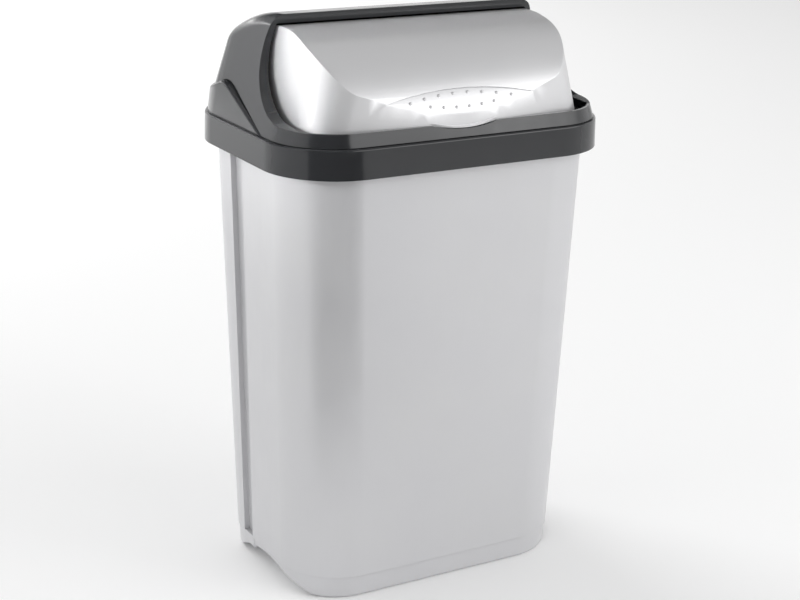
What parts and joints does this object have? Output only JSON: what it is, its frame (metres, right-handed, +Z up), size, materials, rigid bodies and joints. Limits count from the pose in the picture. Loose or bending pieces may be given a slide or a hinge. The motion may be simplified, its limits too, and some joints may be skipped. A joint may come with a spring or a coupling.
{
  "type": "roll-top waste bin",
  "caption": "Tall tapered waste bin with rounded corners, a lift-off lid frame and hood, and a roll flap that turns back under the hood.",
  "frame": {"origin": "centre of the underside, on the floor", "axes": "+Z up, +X along the width, the front faces -Y"},
  "size_m": [0.34, 0.25, 0.5425],
  "materials": {
    "silver_tub": "satin, metallic silver pigment",
    "dark_lid": "satin, moulded anthracite",
    "silver_flap": "satin, metallic silver pigment"
  },
  "bodies": {
    "bin": {"tub": "silver_tub"},
    "lid": {"lid_frame": "dark_lid", "hood": "dark_lid"},
    "flap": {"roll_flap": "silver_flap"}
  },
  "joints": [
    {"name": "lid_lift", "type": "slide", "parent": "bin", "child": "lid", "axis": [0, 0, 1], "range_m": [0, 0.12]},
    {"name": "flap_roll", "type": "hinge", "parent": "lid", "child": "flap", "pos_m": [0, -0.0162, 0.4295], "axis": [-1, 0, 0], "range_deg": [0, 62]}
  ]
}
